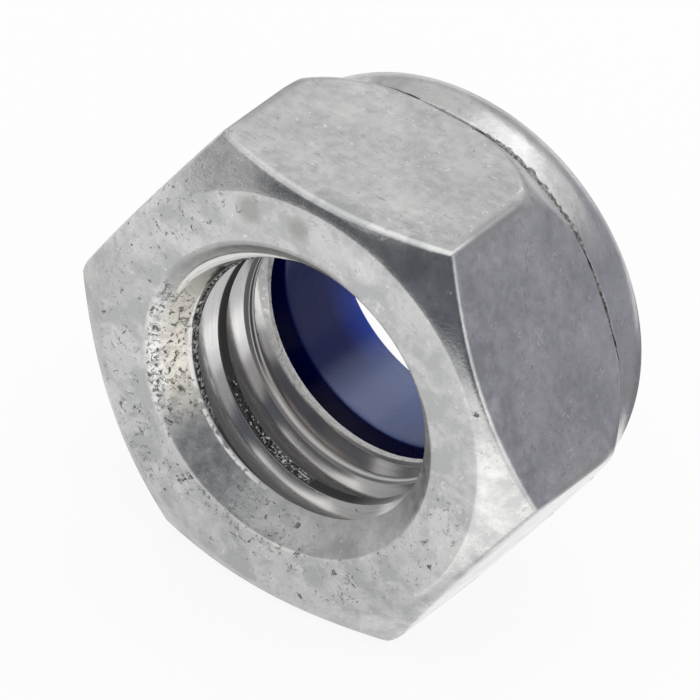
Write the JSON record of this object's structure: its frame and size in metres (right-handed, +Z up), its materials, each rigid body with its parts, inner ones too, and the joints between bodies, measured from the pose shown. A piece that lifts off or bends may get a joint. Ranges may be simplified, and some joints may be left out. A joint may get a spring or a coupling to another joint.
{
  "type": "nylon insert lock nut",
  "caption": "Hexagon lock nut with a turned collar whose curled lip holds a blue nylon locking ring behind the thread.",
  "frame": {"origin": "on the surface that the nut lies on, below the middle of its length, under the thread axis", "axes": "+Y along the thread axis from the bearing face to the collar, +Z up, square to the flat that it lies on, +X towards a corner of the hexagon"},
  "size_m": [0.0208, 0.011, 0.018],
  "materials": {
    "steel": "dull zinc plate with handling marks",
    "nylon": "smooth moulded nylon, dark blue"
  },
  "bodies": {
    "root": {"nut_body": "steel", "nylon_insert": "nylon"}
  },
  "joints": []
}
